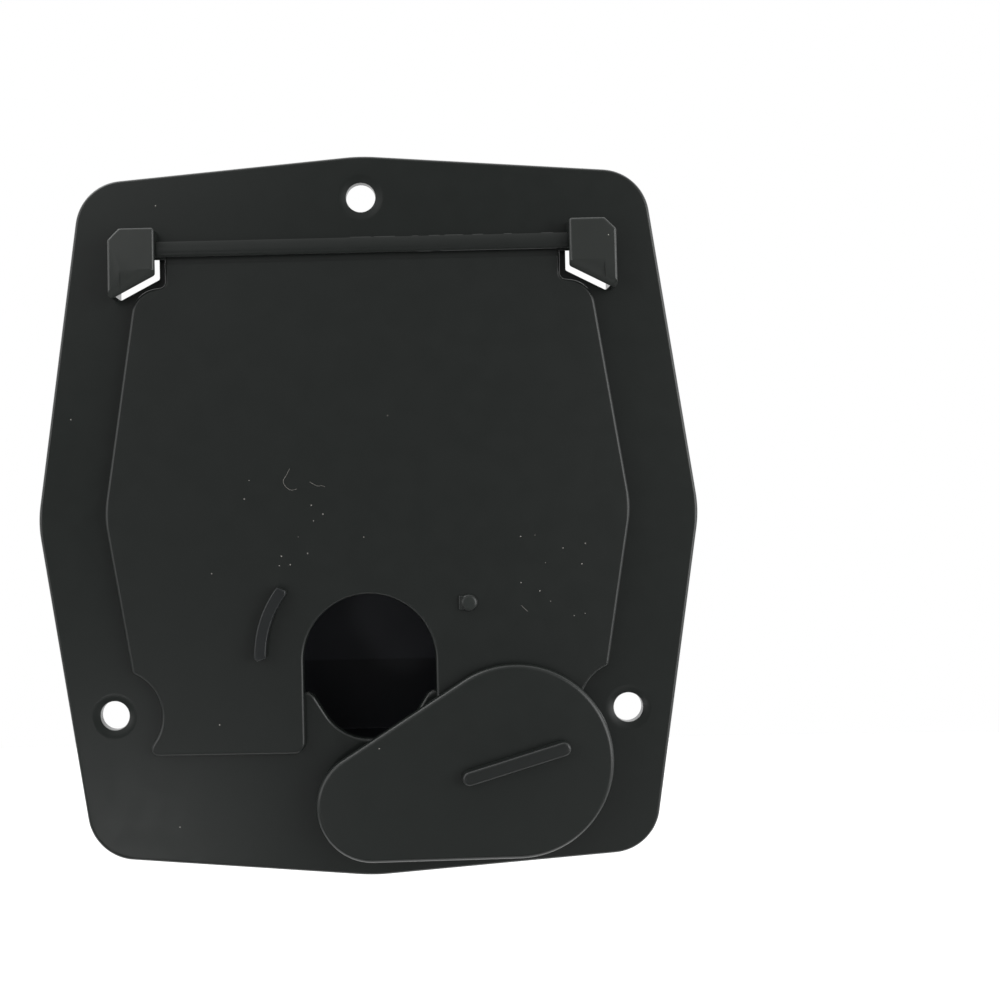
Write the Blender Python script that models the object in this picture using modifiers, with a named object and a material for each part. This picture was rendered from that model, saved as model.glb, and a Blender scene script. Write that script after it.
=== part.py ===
"""A hatch for the power cord of a caravan: frame, door, cord cover and the box behind them.

Metres, +Z up. The hatch hangs on a wall in the plane Y = 0 and faces -Y.
The origin is on that plane, on the centre line, level with the door's hinge.
Each piece is drawn lying on its back, with X to the right, Y up the face and Z out of the wall.
The empty that carries all the pieces stands them up.
"""

from math import acos, asin, ceil, cos, hypot, pi, radians, sin, sqrt, tan

import bmesh
import bpy
from mathutils import Matrix, Vector

# Flange: an upright plate with eight sides
FLANGE_WIDTH = 0.1397
FLANGE_HEIGHT = 0.1524
FLANGE_THICKNESS = 0.0030
FLANGE_SIDE_LEAN = 0.01035
FLANGE_END_FALL = 0.0046
FLANGE_CORNER_RADIUS = 0.0104
FLANGE_SIDE_RADIUS = 0.025
FLANGE_END_RADIUS = 0.040
FLANGE_EDGE_ROUND = 0.0010

# Screw holes, each in a shallow dish for a pan head
SCREW_HOLE_RADIUS = 0.0031
SCREW_DISH_RADIUS = 0.0047
SCREW_DISH_DEPTH = 0.0008
TOP_SCREW_BELOW_TOP = 0.0087
LOWER_SCREW_FROM_SIDE = 0.01535
LOWER_SCREW_ABOVE_FOOT = 0.0348

# Hinge: the door's barrel turns in a snap cradle inside each ear
HINGE_BELOW_TOP = 0.0195
BARREL_RADIUS = 0.00185
PIN_PAST_CRADLE = 0.0006
CRADLE_FROM_EAR_FACE = 0.0027
CRADLE_WIDTH = 0.0030
CRADLE_LIP = 0.0012
CRADLE_SKIN = 0.0003
SNAP_BITE = 0.00035

# Ears: hoods that are open toward the door and along their slanted lower side
EAR_FROM_SIDE = 0.01685
EAR_WIDTH = 0.0098
EAR_TOP_BAND = 0.0024
EAR_INNER_DROP = 0.00505
EAR_OUTER_DROP = 0.0101
EAR_CHAMFER = 0.0024
EAR_WALL = 0.0013
EAR_ROOF = 0.0015
EAR_EDGE_ROUND = 0.0004
WINDOW_PAST_FACE = 0.0003
WINDOW_PAST_FOOT = 0.00075
WINDOW_STEP = 0.0017
WINDOW_CORNER_RADIUS = 0.0004

# Opening of the frame, with the cord slot at its foot
OPENING_BELOW_HINGE = 0.0145
OPENING_FROM_EAR = 0.0070
OPENING_CORNER_RADIUS = 0.0040
SLOT_RADIUS = 0.0111
SLOT_LEAN = radians(31.6)
SLOT_DEPTH = 0.0101
SLOT_SHOULDER_RADIUS = 0.0025
SLOT_LAP = 0.00215

# Collar behind the flange, and the wedges on it that hold the box
COLLAR_LEDGE = 0.0006
COLLAR_WALL = 0.0018
COLLAR_DEPTH = 0.0090
COLLAR_BELOW_SLOT = 0.0020
BARB_WIDTH = 0.0100
BARB_LENGTH = 0.0030
BARB_RISE = 0.0011
BARB_BEHIND_FLANGE = 0.0035
BARB_SPREAD = 0.0560

# Rebate in the flange's back, as wide as the box's rim and deep enough to clear the wall
REBATE_DEPTH = 0.0006
REBATE_MARGIN = 0.0007

# Door
DOOR_THICKNESS = 0.0022
DOOR_FROM_SIDE = 0.01435
DOOR_SIDE_POINT_UP = 0.0011
DOOR_TOP_LEAN = 0.0075
DOOR_TOP_DROP = 0.0084
DOOR_NECK_DROP = 0.0075
DOOR_NECK_CLEARANCE = 0.0017
DOOR_NECK_RADIUS = 0.0012
DOOR_SHOULDER_RADIUS = 0.0058
DOOR_SIDE_RADIUS = 0.020
DOOR_FOOT_LEAN = 0.0082
DOOR_FOOT_ABOVE_BOTTOM = 0.0264
DOOR_EDGE_ROUND = 0.0005
SCOOP_RADIUS = 0.0102
SCOOP_END_ANGLE = radians(213.5)
SCOOP_START_ROUND = 0.0012
SCOOP_TIP_ROUND = 0.0016
LIP_CLEARANCE = 0.0008
LIP_WALL = 0.0014
LIP_DEPTH = 0.0021
LIP_FROM_NOTCH = 0.0008

# Cord notch in the door
NOTCH_RADIUS = 0.0139
NOTCH_BELOW_COVER = 0.0012
NOTCH_CORNER_RADIUS = 0.0023

# Stop rib and detent pip on the door, placed about the closed cover's round end
STOP_RIB_CLEARANCE = 0.0013
STOP_RIB_WIDTH = 0.0025
STOP_RIB_OVERLAP = 0.0015
STOP_RIB_START = radians(141.0)
STOP_RIB_END = radians(182.0)
STOP_RIB_CORNER = 0.0006
STOP_RIB_ROUND = 0.0003
PIP_RADIUS = 0.0020
PIP_HEIGHT = 0.0008
PIP_ROUND = 0.00026
PIP_ANGLE = radians(26.6)
PIP_CLEARANCE = 0.0013
PIP_BLOCK_WIDTH = 0.0016
PIP_BLOCK_LENGTH = 0.0034
PIP_BLOCK_HEIGHT = 0.0006
PIP_BLOCK_ROUND = 0.00016

# Cord cover: a teardrop on a split snap post
PIVOT_ABOVE_FOOT = 0.0155
COVER_REACH = 0.03165
COVER_END_RADIUS = 0.0203
COVER_PIVOT_RADIUS = 0.0117
COVER_THICKNESS = 0.0020
COVER_EDGE_ROUND = 0.0007
COVER_BELOW_CLOSED = radians(73.3)
FINGER_RIB_LENGTH = 0.0224
FINGER_RIB_WIDTH = 0.0030
FINGER_RIB_HEIGHT = 0.0028
FINGER_RIB_ROUND = 0.0006
POST_RADIUS = 0.0030
POST_HOOK = 0.0010
POST_HOOK_LAND = 0.0004
POST_LEAD_LENGTH = 0.0014
POST_TIP_TAPER = 0.0007
POST_SPLIT = 0.0012
POST_FROM_WALL = 0.0004
BOSS_WALL = 0.0032
RECESS_WALL_GAP = 0.0010

# Box behind the frame, pushed over the collar, with a port for the cord in its rear wall
BOX_WALL = 0.0020
BOX_DEPTH = 0.0360
BOX_REAR_ROUND = 0.0030
BOX_INNER_ROUND = 0.0015
BOX_DRAFT = 0.0010
PORT_RADIUS = 0.0140
PORT_RIM_WALL = 0.0018
PORT_RIM_LENGTH = 0.0060
PORT_BELOW_TOP = 0.0325

# Gaps that the real pieces have, and how far a cutter or a joined shape runs past a face
RUN_GAP = 0.0003
OVERRUN = 0.0010
SINK = 0.0005

# How far a facet may stray from its true arc, how near two points are one, and the crisp edges
ARC_ERROR = 0.00003
WELD = 0.000003
FLAT_ANGLE = radians(0.1)
CRISP_ANGLE = radians(32)

# Black plastic: each piece's grey as linear light, its trace of green, and its roughness
FRAME_SHADE = 0.023
DOOR_SHADE = 0.022
COVER_SHADE = 0.024
BOX_SHADE = 0.020
GREEN_TINT = 1.05
FRAME_ROUGHNESS = 0.42
DOOR_ROUGHNESS = 0.38
COVER_ROUGHNESS = 0.36
BOX_ROUGHNESS = 0.50

# Places on the face, from the flange's centre
side_x = FLANGE_WIDTH / 2
top_y = FLANGE_HEIGHT / 2
hinge_y = top_y - HINGE_BELOW_TOP
pivot_y = PIVOT_ABOVE_FOOT - top_y
closed_y = pivot_y + COVER_REACH
notch_y = closed_y - NOTCH_BELOW_COVER
slot_foot_y = closed_y - COVER_END_RADIUS + SLOT_LAP
sill_y = slot_foot_y + SLOT_DEPTH
ear_outer_x = side_x - EAR_FROM_SIDE
ear_inner_x = ear_outer_x - EAR_WIDTH
opening_x = ear_inner_x - OPENING_FROM_EAR
opening_top_y = hinge_y - OPENING_BELOW_HINGE
door_foot_y = DOOR_FOOT_ABOVE_BOTTOM - top_y
door_side_x = side_x - DOOR_FROM_SIDE
screw_x = side_x - LOWER_SCREW_FROM_SIDE
screw_y = LOWER_SCREW_ABOVE_FOOT - top_y

# Levels, out from the wall
hinge_out = FLANGE_THICKNESS + RUN_GAP + BARREL_RADIUS
bore_radius = BARREL_RADIUS + RUN_GAP
roof_under = hinge_out + bore_radius + CRADLE_SKIN
ear_front = roof_under + EAR_ROOF
ear_top_y = hinge_y + bore_radius + EAR_TOP_BAND
door_back = FLANGE_THICKNESS + RUN_GAP
door_front = door_back + DOOR_THICKNESS
cover_back = door_front + PIP_HEIGHT + RUN_GAP
cover_front = cover_back + COVER_THICKNESS
post_ledge = POST_FROM_WALL + POST_LEAD_LENGTH + POST_HOOK_LAND + RUN_GAP

# The collar's inner face
collar_half = opening_x + COLLAR_LEDGE
collar_top_y = opening_top_y + COLLAR_LEDGE
collar_foot_y = slot_foot_y - COLLAR_BELOW_SLOT


def clear_scene():
    for old in list(bpy.data.objects):
        bpy.data.objects.remove(old, do_unlink=True)


def new_collection(name):
    collection = bpy.data.collections.new(name)
    bpy.context.scene.collection.children.link(collection)
    return collection


def black_plastic(name, shade, roughness):
    """Moulded plastic of one grey shade."""
    material = bpy.data.materials.new(name)
    material.use_nodes = True
    shader = material.node_tree.nodes["Principled BSDF"]
    shader.inputs["Base Color"].default_value = (shade, shade * GREEN_TINT, shade, 1)
    shader.inputs["Roughness"].default_value = roughness
    shader.inputs["Metallic"].default_value = 0
    return material


def arc_steps(radius, turn):
    """How many straight steps an arc needs to stay within ARC_ERROR of its true curve."""
    step = 2 * acos(1 - ARC_ERROR / max(radius, 4 * ARC_ERROR))
    return max(1, ceil(turn / step))


def arc(x, y, radius, start, end):
    """Points of an arc about (x, y), both ends included."""
    steps = arc_steps(radius, abs(end - start))
    angles = [start + (end - start) * i / steps for i in range(steps + 1)]
    return [Vector((x + radius * cos(a), y + radius * sin(a))) for a in angles]


def circle(x, y, radius):
    return arc(x, y, radius, 0, 2 * pi)[:-1]


def rounded(corners):
    """The outline through corners (x, y, radius), each rounded as far as its sides have room."""
    count = len(corners)
    spots = [Vector(corner[:2]) for corner in corners]
    sides = [spots[(i + 1) % count] - spots[i] for i in range(count)]
    halves = [(-sides[i - 1]).angle(sides[i]) / 2 for i in range(count)]
    wanted = [corner[2] / tan(half) for corner, half in zip(corners, halves)]
    room = []
    for i in range(count):
        needed = wanted[i] + wanted[(i + 1) % count]
        room.append(min(1, sides[i].length / needed) if needed else 1)
    points = []
    for i in range(count):
        reach = wanted[i] * min(room[i - 1], room[i])
        radius = reach * tan(halves[i])
        if radius < ARC_ERROR:
            points.append(spots[i])
            continue
        inward = sides[i].normalized() - sides[i - 1].normalized()
        centre = spots[i] + inward.normalized() * radius / sin(halves[i])
        spoke = spots[i] - sides[i - 1].normalized() * reach - centre
        turn = (pi - 2 * halves[i]) * (1 if sides[i - 1].cross(sides[i]) > 0 else -1)
        steps = arc_steps(radius, abs(turn))
        points += [centre + Matrix.Rotation(turn * k / steps, 2) @ spoke for k in range(steps + 1)]
    return [p for p, before in zip(points, points[-1:] + points) if (p - before).length > ARC_ERROR]


def mirrored(corners, side):
    """The corners on the right side (1) or the left side (-1) of the centre line."""
    return [(side * x, y, radius) for x, y, radius in corners]


def box_corners(low_x, low_y, high_x, high_y, radius=0):
    """The corners of a rectangle."""
    foot = [(low_x, low_y, radius), (high_x, low_y, radius)]
    return foot + [(high_x, high_y, radius), (low_x, high_y, radius)]


def rim_edges(mesh, level):
    """The edges where the flat face at this level meets the sides."""
    flat = [face for face in mesh.faces if all(abs(v.co.z - level) < ARC_ERROR for v in face.verts)]
    near = {edge for face in flat for edge in face.edges}
    return [edge for edge in near if sum(face in flat for face in edge.link_faces) == 1]


def bevel(mesh, edges, size, segments):
    bmesh.ops.bevel(
        mesh, geom=edges, offset=size, offset_type="OFFSET", segments=segments,
        profile=0.5, affect="EDGES", clamp_overlap=True, material=-1,
    )


def baked(drawn):
    """The mesh that a drawn object gives, in its place."""
    bpy.context.scene.collection.objects.link(drawn)
    depsgraph = bpy.context.evaluated_depsgraph_get()
    data = bpy.data.meshes.new_from_object(drawn.evaluated_get(depsgraph))
    data.transform(drawn.matrix_world)
    bpy.data.objects.remove(drawn)
    return data


def plate(outline, back, front, round_front=0, round_back=0, round_corners=0, segments=2, hole=None):
    """A flat outline between two levels, with its rims and its upright corners rounded."""
    curve = bpy.data.curves.new("outline", "CURVE")
    curve.dimensions = "2D"
    curve.fill_mode = "BOTH"
    curve.extrude = (front - back) / 2
    for points in [outline, hole] if hole else [outline]:
        spline = curve.splines.new("POLY")
        spline.points.add(len(points) - 1)
        for point, (x, y) in zip(spline.points, points):
            point.co = (x, y, 0, 1)
        spline.use_cyclic_u = True
    flat = bpy.data.objects.new("outline", curve)
    flat.location.z = (front + back) / 2
    data = baked(flat)
    mesh = bmesh.new()
    mesh.from_mesh(data)
    bmesh.ops.remove_doubles(mesh, verts=mesh.verts, dist=WELD)
    bmesh.ops.dissolve_limit(mesh, angle_limit=FLAT_ANGLE, verts=mesh.verts, edges=mesh.edges)
    if round_corners:
        upright = [e for e in mesh.edges if abs(e.verts[0].co.z - e.verts[1].co.z) > ARC_ERROR]
        bevel(mesh, [e for e in upright if e.calc_face_angle(0) > CRISP_ANGLE], round_corners, segments + 1)
    for size, level in ((round_front, front), (round_back, back)):
        if size:
            bevel(mesh, rim_edges(mesh, level), size, segments)
    bmesh.ops.recalc_face_normals(mesh, faces=mesh.faces)
    mesh.to_mesh(data)
    mesh.free()
    return data


def turned(profile):
    """A solid turned about Z from (radius, level) points, from its top on the axis down to its foot."""
    steps = arc_steps(max(radius for radius, level in profile), 2 * pi)
    data = bpy.data.meshes.new("profile")
    chain = [(i, i + 1) for i in range(len(profile) - 1)]
    data.from_pydata([(radius, 0, level) for radius, level in profile], chain, [])
    lathe = bpy.data.objects.new("profile", data)
    turn = lathe.modifiers.new("turn", "SCREW")
    turn.steps = steps
    turn.render_steps = steps
    turn.use_merge_vertices = True
    turn.merge_threshold = WELD
    return baked(lathe)


def rod(radius, low_x, high_x, y, out):
    """A round bar along X, with a flat facet toward the wall."""
    steps = 4 * ceil(arc_steps(radius, 2 * pi) / 4)
    data = bpy.data.meshes.new("rod")
    mesh = bmesh.new()
    bmesh.ops.create_cone(
        mesh, cap_ends=True, segments=steps, radius1=radius, radius2=radius, depth=high_x - low_x,
    )
    facet = Matrix.Rotation(pi / steps, 4, "Z")
    along = Matrix.Rotation(pi / 2, 4, "Y")
    place = Matrix.Translation(((low_x + high_x) / 2, y, out))
    mesh.transform(place @ along @ facet)
    mesh.to_mesh(data)
    mesh.free()
    return data


def moved(data, x, y):
    data.transform(Matrix.Translation((x, y, 0)))
    return data


def add_piece(name, data, material, parent, collection):
    """A finished piece: one named object with its own material."""
    piece = bpy.data.objects.new(name, data)
    data.name = name
    data.materials.append(material)
    data.shade_smooth()
    data.set_sharp_from_angle(angle=CRISP_ANGLE)
    piece.parent = parent
    collection.objects.link(piece)
    return piece


def add_guide(piece, name, data, operation):
    """A hidden shape that is joined to its piece, or cut out of it."""
    guide = bpy.data.objects.new(name, data)
    data.name = name
    guide.parent = piece
    guide.hide_render = True
    guide.display_type = "WIRE"
    guides.objects.link(guide)
    boolean = piece.modifiers.new(name, "BOOLEAN")
    boolean.operation = operation
    boolean.solver = "EXACT"
    boolean.object = guide


def join(piece, name, data):
    add_guide(piece, name, data, "UNION")


def cut(piece, name, data):
    add_guide(piece, name, data, "DIFFERENCE")


def past_round(radius, rise, run):
    """How far a blunt corner lies beyond its own rounding, where both sides rise this much in this run."""
    return radius * (hypot(rise, run) / run - 1)


def flange_outline():
    """The flange's rounded side points and end points lie on its full width and height."""
    corner_x = side_x - FLANGE_SIDE_LEAN
    corner_y = top_y - FLANGE_END_FALL
    point_x = side_x + past_round(FLANGE_SIDE_RADIUS, FLANGE_SIDE_LEAN, corner_y)
    point_y = top_y + past_round(FLANGE_END_RADIUS, FLANGE_END_FALL, corner_x)
    right = [
        (corner_x, -corner_y, FLANGE_CORNER_RADIUS),
        (point_x, 0, FLANGE_SIDE_RADIUS),
        (corner_x, corner_y, FLANGE_CORNER_RADIUS),
    ]
    left = mirrored(reversed(right), -1)
    return rounded([(0, -point_y, FLANGE_END_RADIUS)] + right + [(0, point_y, FLANGE_END_RADIUS)] + left)


def ear_slant(x):
    """Height of the ear's slanted lower side at this distance from the centre line."""
    share = (x - ear_inner_x) / EAR_WIDTH
    return hinge_y - EAR_INNER_DROP - share * (EAR_OUTER_DROP - EAR_INNER_DROP)


def ear_corners():
    return [
        (ear_inner_x, ear_slant(ear_inner_x), 0),
        (ear_outer_x, ear_slant(ear_outer_x), 0),
        (ear_outer_x, ear_top_y - EAR_CHAMFER, 0),
        (ear_outer_x - EAR_CHAMFER, ear_top_y, 0),
        (ear_inner_x, ear_top_y, 0),
    ]


def window_corners():
    """The window under an ear: it shows past the ear's inner face and past its slanted side."""
    inner_x = ear_inner_x - WINDOW_PAST_FACE
    outer_x = ear_outer_x - EAR_WALL
    window_top_y = ear_top_y - EAR_WALL
    round_corner = WINDOW_CORNER_RADIUS
    return [
        (inner_x, ear_slant(inner_x) - WINDOW_PAST_FOOT, round_corner),
        (outer_x, ear_slant(outer_x) - WINDOW_PAST_FOOT, round_corner),
        (outer_x, window_top_y, EAR_CHAMFER),
        (ear_inner_x + WINDOW_STEP, window_top_y, round_corner),
        (ear_inner_x + WINDOW_STEP, hinge_y, 0),
        (inner_x, hinge_y, 0),
    ]


def slot_corners():
    """The cord slot's leaning sides and round foot, from the right sill down and back up to the left."""
    foot_half = SLOT_RADIUS * tan((pi / 2 - SLOT_LEAN) / 2)
    sill_half = foot_half + SLOT_DEPTH * tan(SLOT_LEAN)
    right = [(sill_half, sill_y, SLOT_SHOULDER_RADIUS), (foot_half, slot_foot_y, SLOT_RADIUS)]
    return right + mirrored(reversed(right), -1)


def opening_corners():
    corner = OPENING_CORNER_RADIUS
    return (
        [(-opening_x, sill_y, corner), (-opening_x, opening_top_y, corner)]
        + [(opening_x, opening_top_y, corner), (opening_x, sill_y, corner)]
        + slot_corners()
    )


def collar_corners(grow):
    """The collar's inner face, grown outward."""
    radius = OPENING_CORNER_RADIUS + COLLAR_LEDGE + grow
    return box_corners(
        -collar_half - grow, collar_foot_y - grow, collar_half + grow, collar_top_y + grow, radius
    )


def hinge_ear(frame, side, name):
    """One ear: a hood over a window, with the snap cradle for the barrel inside it."""
    outline = rounded(mirrored(ear_corners(), side))
    hood = plate(outline, FLANGE_THICKNESS - SINK, ear_front, round_front=EAR_EDGE_ROUND)
    join(frame, name + "_hood", hood)
    window = plate(rounded(mirrored(window_corners(), side)), -OVERRUN, roof_under)
    cut(frame, name + "_window", window)
    near_x = ear_inner_x + CRADLE_FROM_EAR_FACE
    far_x = near_x + CRADLE_WIDTH
    block = box_corners(
        near_x, hinge_y - bore_radius - CRADLE_LIP, far_x, ear_top_y - EAR_WALL + SINK
    )
    block_back = hinge_out - bore_radius - CRADLE_LIP
    join(frame, name + "_cradle", plate(rounded(mirrored(block, side)), block_back, roof_under + SINK))
    ends = sorted((side * (ear_inner_x - OVERRUN), side * (far_x + OVERRUN)))
    cut(frame, name + "_bore", rod(bore_radius, ends[0], ends[1], hinge_y, hinge_out))
    mouth_half = BARREL_RADIUS - SNAP_BITE
    mouth = box_corners(
        near_x - OVERRUN, hinge_y - bore_radius - CRADLE_LIP - OVERRUN, far_x + OVERRUN, hinge_y
    )
    snap = plate(rounded(mirrored(mouth, side)), hinge_out - mouth_half, hinge_out + mouth_half)
    cut(frame, name + "_mouth", snap)


def screw_cutter():
    top = FLANGE_THICKNESS + OVERRUN
    return turned([
        (0, top),
        (SCREW_DISH_RADIUS, top),
        (SCREW_DISH_RADIUS, FLANGE_THICKNESS),
        (SCREW_HOLE_RADIUS, FLANGE_THICKNESS - SCREW_DISH_DEPTH),
        (SCREW_HOLE_RADIUS, -OVERRUN),
        (0, -OVERRUN),
    ])


def pivot_boss(frame):
    """The boss that carries the cord cover, bored for its post and recessed behind for the post's hook."""
    bore = POST_RADIUS + RUN_GAP
    boss_front = cover_back - RUN_GAP
    recess_radius = POST_RADIUS + POST_HOOK + RECESS_WALL_GAP
    boss = turned([
        (0, boss_front),
        (bore + BOSS_WALL, boss_front),
        (bore + BOSS_WALL, FLANGE_THICKNESS - SINK),
        (0, FLANGE_THICKNESS - SINK),
    ])
    join(frame, "pivot_boss", moved(boss, 0, pivot_y))
    hollow = turned([
        (0, boss_front + OVERRUN),
        (bore, boss_front + OVERRUN),
        (bore, post_ledge),
        (recess_radius, post_ledge),
        (recess_radius, -OVERRUN),
        (0, -OVERRUN),
    ])
    cut(frame, "pivot_bore", moved(hollow, 0, pivot_y))


def box_fit():
    """How far the box's inner face starts outside the collar's inner face, with its draft."""
    return COLLAR_WALL + RUN_GAP + BOX_DRAFT * COLLAR_DEPTH / BOX_DEPTH


def barb(side, y):
    """A wedge on the collar's flank: steep toward the flange, sloping toward the rear."""
    face = collar_half + COLLAR_WALL
    profile = [(-SINK, 0), (BARB_RISE, 0), (0, -BARB_LENGTH), (-SINK, -BARB_LENGTH)]
    data = plate([Vector(point) for point in profile], -BARB_WIDTH / 2, BARB_WIDTH / 2)
    upright = Matrix.Rotation(pi / 2, 4, "X")
    turn = Matrix.Rotation(0 if side > 0 else pi, 4, "Z")
    place = Matrix.Translation((side * face, y, -BARB_BEHIND_FLANGE))
    data.transform(place @ turn @ upright)
    return data


def barb_places():
    middle = (collar_top_y + collar_foot_y) / 2
    return [(side, middle + end * BARB_SPREAD / 2) for side in (-1, 1) for end in (-1, 1)]


def build_frame(parent):
    plastic = black_plastic("frame_plastic", FRAME_SHADE, FRAME_ROUGHNESS)
    body = plate(flange_outline(), 0, FLANGE_THICKNESS, round_front=FLANGE_EDGE_ROUND)
    frame = add_piece("frame", body, plastic, parent, pieces)
    rebate = rounded(collar_corners(box_fit() + BOX_WALL + REBATE_MARGIN))
    cut(frame, "rebate", plate(rebate, -OVERRUN, REBATE_DEPTH))
    join(frame, "collar", plate(rounded(collar_corners(COLLAR_WALL)), -COLLAR_DEPTH, REBATE_DEPTH + SINK))
    cut(frame, "throat", plate(rounded(collar_corners(0)), -COLLAR_DEPTH - OVERRUN, REBATE_DEPTH))
    cut(frame, "opening", plate(rounded(opening_corners()), -OVERRUN, FLANGE_THICKNESS + OVERRUN))
    for side, name in ((-1, "left_ear"), (1, "right_ear")):
        hinge_ear(frame, side, name)
    for x, y in ((0, top_y - TOP_SCREW_BELOW_TOP), (-screw_x, screw_y), (screw_x, screw_y)):
        cut(frame, "screw_hole", moved(screw_cutter(), x, y))
    pivot_boss(frame)
    for side, y in barb_places():
        join(frame, "barb", barb(side, y))
    return frame


def door_corners():
    """The door's outline: a neck under the barrel, leaning sides and a scoop clear of each lower screw."""
    neck_x = ear_inner_x - DOOR_NECK_CLEARANCE
    shoulder = Vector((door_side_x - DOOR_TOP_LEAN, hinge_y - DOOR_TOP_DROP))
    flank = Vector((door_side_x, DOOR_SIDE_POINT_UP))
    foot = Vector((door_side_x - DOOR_FOOT_LEAN, door_foot_y))
    screw = Vector((screw_x, screw_y))
    down = (foot - flank).normalized()
    along = (screw - flank).dot(down)
    aside = abs(down.cross(screw - flank))
    start = flank + down * (along - sqrt(SCOOP_RADIUS**2 - aside**2))
    start_angle = acos((start - screw).x / SCOOP_RADIUS)
    half_sweep = (SCOOP_END_ANGLE - start_angle) / 2
    middle_angle = start_angle + half_sweep
    bend = screw + Vector((cos(middle_angle), sin(middle_angle))) * SCOOP_RADIUS / cos(half_sweep)
    end = screw + Vector((cos(SCOOP_END_ANGLE), sin(SCOOP_END_ANGLE))) * SCOOP_RADIUS
    tip_x = end.x + (end.y - door_foot_y) * tan(SCOOP_END_ANGLE - pi)
    right = [
        (neck_x, hinge_y, 0),
        (neck_x, hinge_y - DOOR_NECK_DROP, DOOR_NECK_RADIUS),
        (shoulder.x, shoulder.y, DOOR_SHOULDER_RADIUS),
        (flank.x, flank.y, DOOR_SIDE_RADIUS),
        (start.x, start.y, SCOOP_START_ROUND),
        (bend.x, bend.y, SCOOP_RADIUS),
        (tip_x, door_foot_y, SCOOP_TIP_ROUND),
        (NOTCH_RADIUS, door_foot_y, NOTCH_CORNER_RADIUS),
        (NOTCH_RADIUS, notch_y + NOTCH_RADIUS, NOTCH_RADIUS),
    ]
    return right + mirrored(reversed(right), -1)


def lip_corners(inset):
    """The lip behind the door, just inside the frame's opening and clear of the notch."""
    half = opening_x - LIP_CLEARANCE - inset
    top = opening_top_y - LIP_CLEARANCE - inset
    foot = sill_y + LIP_CLEARANCE + inset
    bay = NOTCH_RADIUS + LIP_FROM_NOTCH + inset
    corner = max(OPENING_CORNER_RADIUS - LIP_CLEARANCE - inset, 0)
    right = [(half, top, corner), (half, foot, corner), (bay, foot, 0), (bay, notch_y + bay, bay)]
    return right + mirrored(reversed(right), -1)


def stop_rib():
    """A rib round the closed cover's edge, tall enough to stop it from either side."""
    inner = COVER_END_RADIUS + STOP_RIB_CLEARANCE
    outer = inner + STOP_RIB_WIDTH
    outline = arc(0, closed_y, outer, STOP_RIB_START, STOP_RIB_END)
    outline += arc(0, closed_y, inner, STOP_RIB_END, STOP_RIB_START)
    top = cover_back + STOP_RIB_OVERLAP
    return plate(
        outline, door_front - SINK, top, round_front=STOP_RIB_ROUND, round_corners=STOP_RIB_CORNER
    )


def detent_pip():
    """A low round pip beside the closed cover's edge, with a small block on the cover's side of it."""
    distance = COVER_END_RADIUS + PIP_CLEARANCE + PIP_RADIUS
    x = distance * cos(PIP_ANGLE)
    y = closed_y + distance * sin(PIP_ANGLE)
    back = door_front - SINK
    pip = plate(circle(x, y, PIP_RADIUS), back, door_front + PIP_HEIGHT, round_front=PIP_ROUND)
    edge_x = x - PIP_RADIUS
    wide = PIP_BLOCK_WIDTH / 2
    long = PIP_BLOCK_LENGTH / 2
    block = rounded(box_corners(edge_x - wide, y - long, edge_x + wide, y + long))
    return pip, plate(block, back, door_front + PIP_BLOCK_HEIGHT, round_front=PIP_BLOCK_ROUND)


def build_door(parent):
    """The door, drawn in place and then moved onto its hinge line."""
    plastic = black_plastic("door_plastic", DOOR_SHADE, DOOR_ROUGHNESS)
    body = plate(rounded(door_corners()), door_back, door_front, round_front=DOOR_EDGE_ROUND)
    door = add_piece("door", body, plastic, parent, pieces)
    pin_x = ear_inner_x + CRADLE_FROM_EAR_FACE + CRADLE_WIDTH + PIN_PAST_CRADLE
    join(door, "barrel", rod(BARREL_RADIUS, -pin_x, pin_x, hinge_y, hinge_out))
    within = rounded(lip_corners(LIP_WALL))
    lip = plate(rounded(lip_corners(0)), door_back - LIP_DEPTH, door_back + SINK, hole=within)
    join(door, "lip", lip)
    join(door, "stop_rib", stop_rib())
    pip, block = detent_pip()
    join(door, "pip", pip)
    join(door, "pip_block", block)
    to_hinge = Matrix.Translation((0, -hinge_y, -hinge_out))
    for drawn in [door] + list(door.children):
        drawn.data.transform(to_hinge)
    door.location = (0, hinge_y, hinge_out)
    return door


def teardrop():
    """The cover's outline, closed: a small round end on the pivot and a large one above it."""
    lean = asin((COVER_END_RADIUS - COVER_PIVOT_RADIUS) / COVER_REACH)
    large = arc(0, COVER_REACH, COVER_END_RADIUS, -lean, pi + lean)
    small = arc(0, 0, COVER_PIVOT_RADIUS, pi + lean, 2 * pi - lean)
    return large + small


def snap_post():
    """The post behind the cover, with a hook round its end that springs open behind the frame's ledge."""
    hook_front = post_ledge - RUN_GAP
    hook_back = hook_front - POST_HOOK_LAND
    return turned([
        (0, cover_back + SINK),
        (POST_RADIUS, cover_back + SINK),
        (POST_RADIUS, hook_front),
        (POST_RADIUS + POST_HOOK, hook_front),
        (POST_RADIUS + POST_HOOK, hook_back),
        (POST_RADIUS - POST_TIP_TAPER, POST_FROM_WALL),
        (0, POST_FROM_WALL),
    ])


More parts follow.
